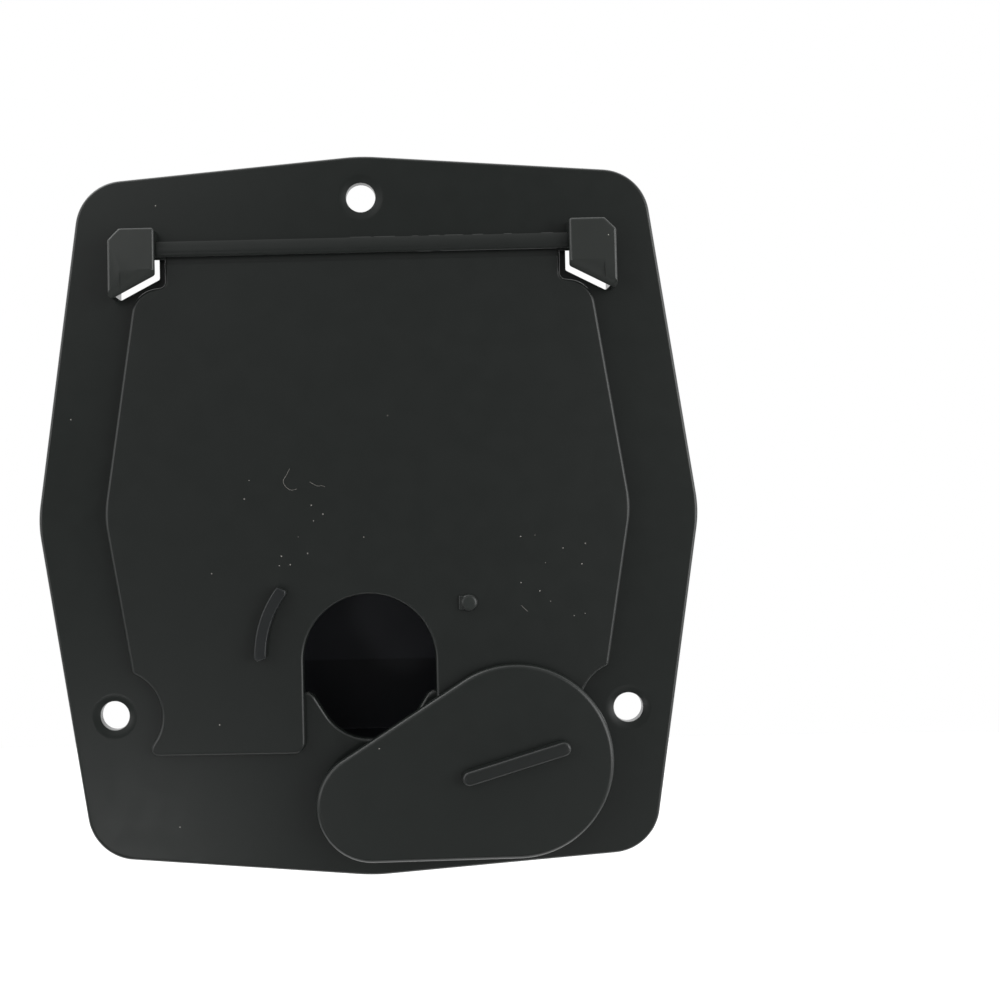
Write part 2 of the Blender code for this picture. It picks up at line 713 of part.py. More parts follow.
def build_cover(parent):
    plastic = black_plastic("cover_plastic", COVER_SHADE, COVER_ROUGHNESS)
    body = plate(teardrop(), cover_back, cover_front, round_front=COVER_EDGE_ROUND, segments=3)
    cover = add_piece("cord_cover", body, plastic, parent, pieces)
    join(cover, "snap_post", snap_post())
    half = POST_RADIUS + POST_HOOK + OVERRUN
    split_end = (cover_back + post_ledge) / 2
    split = plate(rounded(box_corners(-POST_SPLIT / 2, -half, POST_SPLIT / 2, half)), -OVERRUN, split_end)
    cut(cover, "post_split", split)
    half_long = FINGER_RIB_LENGTH / 2
    half_wide = FINGER_RIB_WIDTH / 2
    grip = box_corners(-half_wide, COVER_REACH - half_long, half_wide, COVER_REACH + half_long, half_wide)
    top = cover_front + FINGER_RIB_HEIGHT
    join(cover, "finger_rib", plate(rounded(grip), cover_front - SINK, top, round_front=FINGER_RIB_ROUND))
    cover.location = (0, pivot_y, 0)
    cover.rotation_euler.z = -COVER_BELOW_CLOSED
    return cover


def drafted(data, rear, y, half_width, half_height):
    """Draw the sides in toward the rear, as a mould's draft does."""
    for vertex in data.vertices:
        share = vertex.co.z / rear
        vertex.co.x -= vertex.co.x / half_width * BOX_DRAFT * share
        vertex.co.y -= (vertex.co.y - y) / half_height * BOX_DRAFT * share
    return data


def build_box(parent):
    """The box: a drafted tray over the collar, with a window for each wedge and a rimmed cord port."""
    fit = box_fit()
    rear = -BOX_DEPTH
    inner_rear = rear + BOX_WALL
    middle_y = (collar_top_y + collar_foot_y) / 2
    half_height = (collar_top_y - collar_foot_y) / 2 + fit + BOX_WALL
    half_width = collar_half + fit + BOX_WALL
    outline = rounded(collar_corners(fit + BOX_WALL))
    shell = plate(outline, rear, REBATE_DEPTH - RUN_GAP, round_back=BOX_REAR_ROUND, segments=3)
    drafted(shell, rear, middle_y, half_width, half_height)
    plastic = black_plastic("box_plastic", BOX_SHADE, BOX_ROUGHNESS)
    box = add_piece("back_box", shell, plastic, parent, pieces)
    hollow = plate(rounded(collar_corners(fit)), inner_rear, OVERRUN, round_back=BOX_INNER_ROUND)
    cut(box, "box_hollow", drafted(hollow, rear, middle_y, half_width, half_height))
    port_y = collar_top_y + fit + BOX_WALL - PORT_BELOW_TOP
    port_end = rear - PORT_RIM_LENGTH
    rim = circle(0, port_y, PORT_RADIUS + PORT_RIM_WALL)
    join(box, "port_rim", plate(rim, port_end, rear + SINK))
    port = circle(0, port_y, PORT_RADIUS)
    cut(box, "port", plate(port, port_end - OVERRUN, inner_rear + OVERRUN))
    inner_face = collar_half + COLLAR_WALL
    catch_front = -BARB_BEHIND_FLANGE + RUN_GAP
    catch_back = -BARB_BEHIND_FLANGE - BARB_LENGTH - RUN_GAP
    half_catch = BARB_WIDTH / 2 + RUN_GAP
    for side, y in barb_places():
        catch = box_corners(inner_face, y - half_catch, half_width + OVERRUN, y + half_catch)
        cut(box, "catch_window", plate(rounded(mirrored(catch, side)), catch_back, catch_front))
    return box


clear_scene()
pieces = new_collection("power_cord_hatch")
guides = new_collection("cutters")
hatch = bpy.data.objects.new("hatch", None)
pieces.objects.link(hatch)
hatch.rotation_euler.x = pi / 2
hatch.location.z = -hinge_y
build_frame(hatch)
build_door(hatch)
build_cover(hatch)
build_box(hatch)
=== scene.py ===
"""The power cord hatch dressed for its picture: fine edges, moulded plastic, light and camera.

The pieces are drawn in millimetres, lying on their backs: X to the right, Y up the face and Z out of
the wall. They are then stood up in metres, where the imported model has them.
"""

from math import acos, asin, atan, ceil, cos, hypot, pi, radians, sin, sqrt, tan

import bmesh
import bpy
from mathutils import Matrix, Vector


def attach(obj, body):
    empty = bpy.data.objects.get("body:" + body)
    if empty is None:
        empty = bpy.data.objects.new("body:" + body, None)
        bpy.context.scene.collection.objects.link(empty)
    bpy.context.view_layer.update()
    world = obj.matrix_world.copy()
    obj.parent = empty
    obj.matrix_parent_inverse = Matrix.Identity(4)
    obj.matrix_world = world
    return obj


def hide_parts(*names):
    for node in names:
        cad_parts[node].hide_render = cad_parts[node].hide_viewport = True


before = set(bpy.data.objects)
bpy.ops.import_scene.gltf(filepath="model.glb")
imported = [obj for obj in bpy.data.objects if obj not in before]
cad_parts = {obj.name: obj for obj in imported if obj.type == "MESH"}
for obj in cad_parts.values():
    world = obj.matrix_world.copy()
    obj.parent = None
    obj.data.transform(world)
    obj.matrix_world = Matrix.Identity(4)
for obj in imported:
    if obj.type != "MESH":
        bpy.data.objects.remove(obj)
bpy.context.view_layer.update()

# Places on the face, from the flange's centre
SIDE_X = 69.85
TOP_Y = 76.18
SIDE_LEAN = 10.35
END_FALL = 4.6
HINGE_Y = 56.7
PIVOT_Y = -60.7
CLOSED_Y = -29.05
NOTCH_Y = -30.25
SLOT_FOOT_Y = -47.2
SILL_Y = -37.1
OPENING_X = 36.2
OPENING_TOP_Y = 42.2
SCREWS = ((0, 67.5), (-54.5, -41.4), (54.5, -41.4))
COVER_TURN = radians(-73.3)

# Levels out from the wall
FLANGE_FRONT = 3.0
DOOR_BACK = 3.3
DOOR_FRONT = 5.5
HINGE_OUT = 5.15
COVER_BACK = 6.6
COVER_FRONT = 8.6
ROOF_UNDER = 7.6
EAR_FRONT = 9.1
POST_LEDGE = 2.5

# Running gap, how far joined shapes sink in and cutters run past
GAP = 0.3
SINK = 0.5
PAST = 1.0

# The ears: their sides, how far the slanted side starts below the hinge and falls from there, how much
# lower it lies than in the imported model, and how much the front leans back toward the top
EAR_IN = 43.2
EAR_OUT = 53.0
EAR_DROP = 5.05
EAR_LOWER = 0.35
EAR_LEAN = 0.055
EAR_ROUND = 0.7
CUT_CORNER = 2.4
CRADLE_BORE = 2.15

# The facet at an ear's foot, cut from these points: distance in from the slanted side, and level
EAR_FACET = ((-1, 7.15), (1.9, 9.18), (1.9, 12), (-1, 12))

# The door's barrel: its round ends, and the low crown between the ears with a groove below it
BARREL_RADIUS = 1.85
PIN_END_X = 49.5
CROWN_END_X = 44.4
BARREL_FRONT = 6.3
BARREL_FOOT = 4.3
BROW = -0.3
CROWN_FALL = 10.4
GROOVE_END_X = 41.2
GROOVE_HIGH = -1.4
GROOVE_LOW = -2.9
GROOVE_DEPTH = 0.9

# The detent pip, from the middle of the shut cover's round end
PIP_REACH = 23.6
PIP_ANGLE = radians(26.6)
PIP_RADIUS = 1.85
PIP_RISE = 0.8

# The teardrop: radii of its round end and of its pivot end, and the distance between their centres
ROUND_END = 20.3
PIVOT_END = 11.7
COVER_REACH = 31.65
POST_RADIUS = 3

# The collar's bore, and how far outside it lie the collar's outer side, the box's two sides and the
# edge of the rebate that takes the box's rim
COLLAR_X = OPENING_X + 0.6
COLLAR_TOP_Y = OPENING_TOP_Y + 0.6
COLLAR_FOOT_Y = SLOT_FOOT_Y - 2
COLLAR_ROUND = 4.6
COLLAR_WALL = 1.8
BOX_INSIDE = 2.35
BOX_OUTSIDE = 4.35
REBATE_SIDE = 5.05
REBATE = 0.6

# The box's levels, how far its sides draw in toward the rear, and its port and catches
BOX_BACK = -36
BOX_FLOOR = -34
PORT_BACK = -42
DRAFT = 1.0
BOX_HALF_X = COLLAR_X + BOX_OUTSIDE
BOX_HALF_Y = (COLLAR_TOP_Y - COLLAR_FOOT_Y) / 2 + BOX_OUTSIDE
BOX_MIDDLE_Y = (COLLAR_TOP_Y + COLLAR_FOOT_Y) / 2
PORT_BELOW_TOP = 32.5
PORT_RADIUS = 14
PORT_RIM = 15.8
BARB_SPREAD = 28
BARB_HALF = 5
BARB_RISE = 1.1
BARB_FRONT = -3.5
BARB_REAR = -6.5

# How far a facet may stray from its true arc, which points are one, and which edges stay crisp
ARC_ERROR = 0.004
WELD = 0.0005
CRISP = radians(38)

# The screw holes' soft dish: radius, and depth below the flange's face
SCREW_DISH = ((5.0, 0), (4.6, 0.02), (4.1, 0.09), (3.5, 0.22), (3.2, 0.29), (3.1, 0.42))

# Dust grains: x, y and radius on the door; x, y, level and radius on the frame
DOOR_DUST = (
    (-24.6, 8.1, 0.10), (-25.7, 4.2, 0.16), (-11.6, 2.6, 0.15), (-9.2, 0.7, 0.15), (-11.2, -0.7, 0.11),
    (-18.1, -8.0, 0.16), (-12.6, -7.5, 0.15), (-18.6, -10.0, 0.12), (-16.3, -9.8, 0.15), (32.2, -4.8, 0.12),
    (35.2, -4.6, 0.09), (41.0, -7.4, 0.14), (45.7, -6.5, 0.15), (37.3, -10.4, 0.09), (44.9, -10.8, 0.15),
    (32.1, -14.5, 0.14), (36.0, -16.3, 0.14), (38.2, -18.5, 0.09), (43.1, -21.6, 0.10), (45.4, -21.2, 0.09),
    (4.8, 21.1, 0.12), (-0.7, -4.3, 0.12), (-32.9, -11.4, 0.14), (-31.9, -43.3, 0.15), (-14.5, -4.0, 0.07),
)
FRAME_DUST = (
    (-43.5, 66.7, 3.0, 0.16), (-62.5, 21.8, 3.0, 0.15), (-41.1, -65.3, 3.0, 0.16), (51.3, 57.4, 8.5, 0.15),
)

# Two lint hairs and a short scratch on the door
HAIRS = (
    ((-16.0, 10.4), (-16.6, 9.2), (-17.5, 7.9), (-17.2, 6.9), (-16.3, 6.0), (-15.4, 5.8), (-14.6, 6.1)),
    ((-11.8, 7.5), (-11.0, 7.0), (-10.1, 6.5), (-9.3, 6.8), (-8.6, 6.4)),
    ((32.1, -19.3), (33.4, -20.6)),
)

# Where flash stands along the barrel's top, and where the mould's parting line shows below its front
FLASH = ((2.7, 7.1), (10.7, 11.9), (14.2, 16.5), (17.5, 21.3), (23.3, 25.5), (29.9, 31.5), (37.7, 40.2))
SEAM = ((11.8, 14.6), (16.5, 41.0))

# The surfaces' patterns, by how many fit in a metre: clouds near 4 mm, a grain near 0.2 mm and clumps
# near 1 mm. The spark-eroded grain of such a mould is near 0.08 mm, under half a pixel of the picture,
# so it is drawn as coarse as it needs to show.
CLOUDS_PER_METRE = 260.0
GRAINS_PER_METRE = 4500.0
CLUMPS_PER_METRE = 900.0

# From a drawing in millimetres on its back to the hatch in metres on its wall
STAND = Matrix((
    (0.001, 0, 0, 0),
    (0, 0, -0.001, 0),
    (0, 0.001, 0, -0.001 * HINGE_Y),
    (0, 0, 0, 1),
))


def arc_steps(radius, turn):
    step = 2 * acos(1 - ARC_ERROR / max(radius, 4 * ARC_ERROR))
    return max(2, ceil(turn / step))


def arc(x, y, radius, start, end):
    steps = arc_steps(radius, abs(end - start))
    angles = [start + (end - start) * i / steps for i in range(steps + 1)]
    return [Vector((x + radius * cos(a), y + radius * sin(a))) for a in angles]


def circle(x, y, radius):
    return arc(x, y, radius, 0, 2 * pi)[:-1]


def rounded(corners):
    """The outline through corners (x, y, radius), each rounded as far as its sides have room."""
    count = len(corners)
    spots = [Vector(corner[:2]) for corner in corners]
    sides = [spots[(i + 1) % count] - spots[i] for i in range(count)]
    halves = [(-sides[i - 1]).angle(sides[i]) / 2 for i in range(count)]
    wanted = [corner[2] / tan(half) for corner, half in zip(corners, halves)]
    room = []
    for i in range(count):
        needed = wanted[i] + wanted[(i + 1) % count]
        room.append(min(1, sides[i].length / needed) if needed else 1)
    points = []
    for i in range(count):
        reach = wanted[i] * min(room[i - 1], room[i])
        radius = reach * tan(halves[i])
        if radius < ARC_ERROR:
            points.append(spots[i])
            continue
        inward = sides[i].normalized() - sides[i - 1].normalized()
        centre = spots[i] + inward.normalized() * radius / sin(halves[i])
        spoke = spots[i] - sides[i - 1].normalized() * reach - centre
        turn = (pi - 2 * halves[i]) * (1 if sides[i - 1].cross(sides[i]) > 0 else -1)
        steps = arc_steps(radius, abs(turn))
        points += [centre + Matrix.Rotation(turn * k / steps, 2) @ spoke for k in range(steps + 1)]
    return [p for p, before in zip(points, points[-1:] + points) if (p - before).length > ARC_ERROR]


def mirrored(corners, side):
    return [(side * x, y, radius) for x, y, radius in corners]


def both_sides(right):
    """A closed outline from its right half."""
    return right + mirrored(reversed(right), -1)


def box_corners(low_x, low_y, high_x, high_y, radius=0):
    foot = [(low_x, low_y, radius), (high_x, low_y, radius)]
    return foot + [(high_x, high_y, radius), (low_x, high_y, radius)]


def baked(drawn):
    """The mesh that a drawn object gives, in its place."""
    bpy.context.scene.collection.objects.link(drawn)
    depsgraph = bpy.context.evaluated_depsgraph_get()
    data = bpy.data.meshes.new_from_object(drawn.evaluated_get(depsgraph))
    data.transform(drawn.matrix_world)
    bpy.data.objects.remove(drawn)
    return data


def rim_edges(mesh, level, outline):
    """The edges at this level that run along the outline."""
    found = []
    for edge in mesh.edges:
        if any(abs(v.co.z - level) > WELD for v in edge.verts) or len(edge.link_faces) != 2:
            continue
        if edge.calc_face_angle(0) < CRISP:
            continue
        if all(min((v.co.xy - p).length for p in outline) < 2 * WELD for v in edge.verts):
            found.append(edge)
    return found


def round_rim(mesh, edges, size, segments):
    bmesh.ops.bevel(
        mesh, geom=edges, offset=size, offset_type="OFFSET", segments=segments,
        profile=0.5, affect="EDGES", clamp_overlap=True, material=-1,
    )


def plate(outline, back, front, fronts=0, backs=0, holes=(), segments=4):
    """A flat outline between two levels with rounded rims. A hole is (outline, front round, back round)."""
    loops = [(outline, fronts, backs)] + list(holes)
    curve = bpy.data.curves.new("outline", "CURVE")
    curve.dimensions = "2D"
    curve.fill_mode = "BOTH"
    curve.extrude = (front - back) / 2
    for points, *_ in loops:
        spline = curve.splines.new("POLY")
        spline.points.add(len(points) - 1)
        for point, (x, y) in zip(spline.points, points):
            point.co = (x, y, 0, 1)
        spline.use_cyclic_u = True
    flat = bpy.data.objects.new("outline", curve)
    flat.location.z = (front + back) / 2
    data = baked(flat)
    mesh = bmesh.new()
    mesh.from_mesh(data)
    bmesh.ops.remove_doubles(mesh, verts=mesh.verts, dist=WELD)
    bmesh.ops.dissolve_limit(mesh, angle_limit=radians(0.1), verts=mesh.verts, edges=mesh.edges)
    for points, at_front, at_back in loops:
        for size, level in ((at_front, front), (at_back, back)):
            if size:
                round_rim(mesh, rim_edges(mesh, level, points), size, segments)
    bmesh.ops.recalc_face_normals(mesh, faces=mesh.faces)
    mesh.to_mesh(data)
    mesh.free()
    return data


def turned(profile, steps=0):
    """A solid turned about Z from (radius, level) points, down its outer side."""
    steps = steps or arc_steps(max(point[0] for point in profile), 2 * pi)
    data = bpy.data.meshes.new("profile")
    chain = [(i, i + 1) for i in range(len(profile) - 1)]
    data.from_pydata([(radius, 0, level) for radius, level in profile], chain, [])
    lathe = bpy.data.objects.new("profile", data)
    turn = lathe.modifiers.new("turn", "SCREW")
    turn.steps = steps
    turn.render_steps = steps
    turn.use_merge_vertices = True
    turn.merge_threshold = WELD
    return baked(lathe)


def quarter(x, y, radius, start, end, steps=4):
    """Points of a small fillet in a profile."""
    angles = [start + (end - start) * i / steps for i in range(steps + 1)]
    return [(x + radius * cos(a), y + radius * sin(a)) for a in angles]


def slab(points, low, high, along):
    """A solid drawn in cross-section: (y, out) points along X, or (out, x) points along Y."""
    data = plate([Vector(point) for point in points], low, high)
    x, y, z = (1, 0, 0, 0), (0, 1, 0, 0), (0, 0, 1, 0)
    rows = (z, x, y) if along == "X" else (y, z, x)
    data.transform(Matrix(rows + ((0, 0, 0, 1),)))
    return data


def moved(data, x, y, out=0):
    data.transform(Matrix.Translation((x, y, out)))
    return data


def along_x(data):
    """A turned shape laid down along X."""
    data.transform(Matrix.Rotation(pi / 2, 4, "Y"))
    return data


def shaped(base, *steps):
    """The base after each step, which is a letter and a mesh: J joins it and C cuts it out."""
    thing = bpy.data.objects.new("base", base)
    others = []
    for letter, data in steps:
        other = bpy.data.objects.new("other", data)
        bpy.context.scene.collection.objects.link(other)
        boolean = thing.modifiers.new("step", "BOOLEAN")
        boolean.operation = "UNION" if letter == "J" else "DIFFERENCE"
        boolean.solver = "EXACT"
        boolean.object = other
        others.append(other)
    data = baked(thing)
    for other in others:
        bpy.data.objects.remove(other)
    return data


def speck(x, y, out, radius):
    """A dust grain: a low dome that sits in the surface."""
    dome = [(0, radius), (radius * 0.6, radius * 0.75), (radius, 0), (0, -0.02)]
    return moved(turned(dome, 8), x, y, out)


def strand(points, radius):
    """A thin round strand through (x, y, out) points."""
    curve = bpy.data.curves.new("strand", "CURVE")
    curve.dimensions = "3D"
    curve.bevel_depth = radius
    curve.bevel_resolution = 1
    curve.use_fill_caps = True
    spline = curve.splines.new("NURBS")
    spline.points.add(len(points) - 1)
    for point, place in zip(spline.points, points):
        point.co = (*place, 1)
    spline.use_endpoint_u = True
    spline.order_u = 3
    spline.resolution_u = 6
    return baked(bpy.data.objects.new("strand", curve))


def marked(base, *marks):
    """The base with small marks laid on it; each is a mesh and the place of its material in the list."""
    mesh = bmesh.new()
    mesh.from_mesh(base)
    for data, place in marks:
        before = len(mesh.faces)
        mesh.from_mesh(data)
        mesh.faces.ensure_lookup_table()
        for face in mesh.faces[before:]:
            face.material_index = place
    mesh.to_mesh(base)
    mesh.free()
    return base


def finish_piece(name, data, materials, body, node):
    """Stand a drawn piece up, shade it, and let it stand for its node."""
    mesh = bmesh.new()
    mesh.from_mesh(data)
    bmesh.ops.remove_doubles(mesh, verts=mesh.verts, dist=WELD)
    bmesh.ops.dissolve_degenerate(mesh, edges=mesh.edges, dist=WELD)
    bmesh.ops.triangulate(mesh, faces=[f for f in mesh.faces if len(f.verts) > 4], ngon_method="BEAUTY")
    mesh.to_mesh(data)
    mesh.free()
    data.transform(STAND)
    data.name = name
    # Clearing the list of materials forgets which face had which, so the places are set back
    places = [face.material_index for face in data.polygons]
    data.materials.clear()
    for material in materials:
        data.materials.append(material)
    data.polygons.foreach_set("material_index", places)
    data.shade_smooth()
    data.set_sharp_from_angle(angle=CRISP)
    piece = bpy.data.objects.new(name, data)
    bpy.context.scene.collection.objects.link(piece)
    even = piece.modifiers.new("even", "WEIGHTED_NORMAL")
    even.mode = "FACE_AREA"
    even.weight = 80
    even.keep_sharp = True
    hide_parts(node)
    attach(piece, body)


def past_round(radius, rise, run):
    """How far a blunt corner lies beyond its own rounding."""
    return radius * (hypot(rise, run) / run - 1)


def flange_outline():
    corner_x = SIDE_X - SIDE_LEAN
    corner_y = TOP_Y - END_FALL
    corner_round, side_round, end_round = 10.4, 25, 40
    point_x = SIDE_X + past_round(side_round, SIDE_LEAN, corner_y)
    point_y = TOP_Y + past_round(end_round, END_FALL, corner_x)
    right = [
        (corner_x, -corner_y, corner_round),
        (point_x, 0, side_round),
        (corner_x, corner_y, corner_round),
    ]
    left = mirrored(reversed(right), -1)
    return rounded([(0, -point_y, end_round)] + right + [(0, point_y, end_round)] + left)


def ear_slant(x):
    """Height of the ear's slanted lower side."""
    return HINGE_Y - EAR_DROP - (x - EAR_IN) / (EAR_OUT - EAR_IN) * EAR_DROP


def ear_face(y):
    """Level of the ear's front, which leans back from its foot toward its top."""
    return EAR_FRONT - (y - HINGE_Y + 2 * EAR_DROP) * EAR_LEAN


def ear_outline(side):
    top_y = HINGE_Y + 4.55
    corners = [
        (EAR_IN, ear_slant(EAR_IN) - EAR_LOWER, EAR_ROUND),
        (EAR_OUT, ear_slant(EAR_OUT) - EAR_LOWER, EAR_ROUND),
        (EAR_OUT, top_y - CUT_CORNER, EAR_ROUND),
        (EAR_OUT - CUT_CORNER, top_y, EAR_ROUND),
        (EAR_IN, top_y, EAR_ROUND),
    ]
    return rounded(mirrored(corners, side))


def window_outline(side):
    """The hole through the flange under an ear, with a step in beside the door's neck."""
    inner_x = EAR_IN - 0.3
    step_x = EAR_IN + 1.7
    outer_x = EAR_OUT - 1.3
    top_y = HINGE_Y + 3.25
    below = 0.75
    corners = [
        (inner_x, ear_slant(inner_x) - below, 0.5),
        (outer_x, ear_slant(outer_x) - below, 0.5),
        (outer_x, top_y, 2.4),
        (step_x, top_y, 0.4),
        (step_x, HINGE_Y, 0),
        (inner_x, HINGE_Y, 0),
    ]
    return rounded(mirrored(corners, side))


def opening_outline():
    """The opening behind the door, with the cord slot at its foot."""
    lean = radians(31.6)
    slot_round = 11.1
    foot_half = slot_round * tan((pi / 2 - lean) / 2)
    sill_half = foot_half + (SILL_Y - SLOT_FOOT_Y) * tan(lean)
    slot = [(foot_half, SLOT_FOOT_Y, slot_round), (sill_half, SILL_Y, 2.5)]
    return rounded(both_sides(slot + [(OPENING_X, SILL_Y, 4), (OPENING_X, OPENING_TOP_Y, 4)]))


def collar_outline(grow):
    """The collar's bore, grown by so much."""
    half = COLLAR_X + grow
    return rounded(box_corners(-half, COLLAR_FOOT_Y - grow, half, COLLAR_TOP_Y + grow, COLLAR_ROUND + grow))


def ear_steps(side):
    """The hood over the hinge's end, with the snap cradle inside it."""
    body = plate(ear_outline(side), FLANGE_FRONT - SINK, EAR_FRONT, fronts=0.6)
    for vertex in body.vertices:
        if vertex.co.z > FLANGE_FRONT:
            vertex.co.z += ear_face(vertex.co.y) - EAR_FRONT
    # Below a crease the front slopes back the other way
    crease_y, end_y, fall = HINGE_Y - 4.2, HINGE_Y - 12, 0.62
    crease = ear_face(crease_y)
    slope = [(crease_y, crease), (end_y, crease - fall)]
    slope += [(end_y, EAR_FRONT + PAST), (crease_y, EAR_FRONT + PAST)]
    low, high = sorted((side * (EAR_IN + 0.8), side * (EAR_OUT - 2.5)))
    middle = (EAR_IN + EAR_OUT) / 2
    facet = slab(EAR_FACET, -9, 9, "X")
    facet.transform(Matrix.Rotation(-side * atan(EAR_DROP / (EAR_OUT - EAR_IN)), 4, "Z"))
    facet = moved(facet, side * middle, ear_slant(middle) - EAR_LOWER)
    hood = shaped(body, ("C", slab(slope, low, high, "X")), ("C", facet))
    # The cradle is a block with a bore for the barrel's end, open below through a narrower mouth
    wall = 1.2
    near_x = EAR_IN + 2.7
    far_x = near_x + 3
    block = box_corners(near_x, HINGE_Y - CRADLE_BORE - wall, far_x, HINGE_Y + 3.75)
    mouth = box_corners(near_x - PAST, HINGE_Y - CRADLE_BORE - wall - PAST, far_x + PAST, HINGE_Y)
    bore = turned([(0, 4), (CRADLE_BORE, 4), (CRADLE_BORE, -4), (0, -4)])
    return [
        ("J", hood),
        ("C", plate(window_outline(side), -PAST, ROOF_UNDER)),
        ("J", plate(rounded(mirrored(block, side)), HINGE_OUT - CRADLE_BORE - wall, ROOF_UNDER + SINK)),
        ("C", moved(along_x(bore), side * (EAR_IN + 3), HINGE_Y, HINGE_OUT)),
        ("C", plate(rounded(mirrored(mouth, side)), HINGE_OUT - 1.5, HINGE_OUT + 1.5)),
    ]


def screw_hole(x, y):
    """A hole with a shallow dish that has soft edges."""
    wide, narrow = SCREW_DISH[0][0], SCREW_DISH[-1][0]
    profile = [(0, FLANGE_FRONT + PAST), (wide, FLANGE_FRONT + PAST)]
    profile += [(radius, FLANGE_FRONT - depth) for radius, depth in SCREW_DISH]
    profile += [(narrow, -PAST), (0, -PAST)]
    return "C", moved(turned(profile), x, y)


def ejector_mark(x, y, level, radius=2.4):
    """The faint round print that a mould's ejector pin leaves on a piece's back."""
    top = level + 0.12
    pin = [(0, top), (radius - 0.1, top), (radius, level - PAST), (0, level - PAST)]
    return "C", moved(turned(pin), x, y)


def barb(side, y):
    """A wedge on the collar's flank that holds the box."""
    face = COLLAR_X + COLLAR_WALL
    corners = [(BARB_FRONT, face - SINK), (BARB_FRONT, face + BARB_RISE), (BARB_REAR, face)]
    corners.append((BARB_REAR, face - SINK))
    return "J", slab([(out, side * x) for out, x in corners], y - BARB_HALF, y + BARB_HALF, "Y")


def make_frame():
    pins = [(x, y) for x in (-57, 57) for y in (-8, 24)] + [(-40, -62), (40, -62), (-30, 62), (30, 62)]
    flange = plate(
        flange_outline(), 0, FLANGE_FRONT, fronts=0.7, backs=0.25,
        holes=[(opening_outline(), 0.7, 0.2)],
    )
    collar = plate(
        collar_outline(COLLAR_WALL), -9, REBATE + SINK, backs=0.3,
        holes=[(collar_outline(0), 0, 0.3)],
    )
    bore = POST_RADIUS + GAP
    boss_top = COVER_BACK - GAP
    boss = [(0, boss_top), (bore + 2.9, boss_top), (bore + 3.2, boss_top - 0.3)]
    boss += [(bore + 3.2, FLANGE_FRONT - SINK), (0, FLANGE_FRONT - SINK)]
    hollow = [(0, COVER_BACK + PAST), (bore, COVER_BACK + PAST), (bore, POST_LEDGE)]
    hollow += [(5, POST_LEDGE), (5, -PAST), (0, -PAST)]
    shell = shaped(
        flange,
        *[screw_hole(x, y) for x, y in SCREWS],
        ("C", plate(collar_outline(REBATE_SIDE), -PAST, REBATE)),
        ("J", collar),
        *ear_steps(-1),
        *ear_steps(1),
        ("J", moved(turned(boss), 0, PIVOT_Y)),
        ("C", moved(turned(hollow), 0, PIVOT_Y)),
        *[barb(side, end * BARB_SPREAD + BOX_MIDDLE_Y) for side in (-1, 1) for end in (-1, 1)],
        *[ejector_mark(x, y, 0) for x, y in pins],
    )
    return marked(shell, *[(speck(*grain), 1) for grain in FRAME_DUST])


def door_outline():
    """A neck under the barrel, leaning sides, a scoop round each lower screw, and the cord notch."""
    shoulder = Vector((48.0, 48.3))
    flank = Vector((55.5, 1.1))
    foot = Vector((47.3, -49.8))
    screw = Vector(SCREWS[2])
    reach = 10.2
    last = radians(213.5)
    notch = 13.9
    down = (foot - flank).normalized()
    along = (screw - flank).dot(down)
    aside = abs(down.cross(screw - flank))
    start = flank + down * (along - sqrt(reach**2 - aside**2))
    first = acos((start - screw).x / reach)
    half = (last - first) / 2
    bend = screw + Vector((cos(first + half), sin(first + half))) * reach / cos(half)
    end_y = screw.y + sin(last) * reach
    tip_x = screw.x + cos(last) * reach + (end_y - foot.y) * tan(last - pi)
    right = [
        (41.5, HINGE_Y, 0),
        (41.5, HINGE_Y - 7.5, 1.2),
        (shoulder.x, shoulder.y, 5.8),
        (flank.x, flank.y, 20),
        (start.x, start.y, 1.2),
        (bend.x, bend.y, reach),
        (tip_x, foot.y, 1.6),
        (notch, foot.y, 2.3),
        (notch, NOTCH_Y + notch, notch),
    ]
    return rounded(both_sides(right))


def lip_outline(inset):
    """The door's lip behind it, which enters the opening and rounds the notch."""
    clear = 0.8 + inset
    half = OPENING_X - clear
    top = OPENING_TOP_Y - clear
    foot = SILL_Y + clear
    bay = 14.7 + inset
    corner = max(3.2 - inset, 0)
    right = [(half, top, corner), (half, foot, corner), (bay, foot, 0), (bay, NOTCH_Y + bay, bay)]
    return rounded(both_sides(right))


def rib_outline():
    """The stop rib's arc about the shut cover's round end, with rounded corners."""
    inner, outer = 21.6, 24.1
    start, end = radians(141), radians(182)
    corner = 0.6
    bulge = 0.42
    centre = Vector((0, CLOSED_Y))
    points = []
    for radius, inward, a, b in ((outer, -corner, start, end), (inner, corner, end, start)):
        inset = corner / radius * (1 if b > a else -1)
        points += arc(0, CLOSED_Y, radius, a + inset, b - inset)
        at_end = Vector((cos(b), sin(b))) * (radius + inward)
        at_side = Vector((cos(b - inset), sin(b - inset))) * radius
        points.append(centre + at_end.lerp(at_side, bulge))
        points.append(centre + at_end)
    return points


def crown_section():
    """The barrel between the ears, in (y, out) points: a low crown above its brow, round below it."""
    core = BARREL_FRONT - BARREL_RADIUS
    heights = (BARREL_RADIUS, 1.5, 1.1, 0.7, 0.3, 0.0)
    points = [(y, BARREL_FRONT - (y - BROW) ** 2 / CROWN_FALL) for y in heights]
    for turn in [radians(6 * i) for i in range(7)]:
        points.append((BROW - BARREL_RADIUS * sin(turn), core + BARREL_RADIUS * cos(turn)))
    points += [(GROOVE_HIGH, BARREL_FOOT), (BARREL_RADIUS, BARREL_FOOT)]
    return [(HINGE_Y + y, out) for y, out in points]


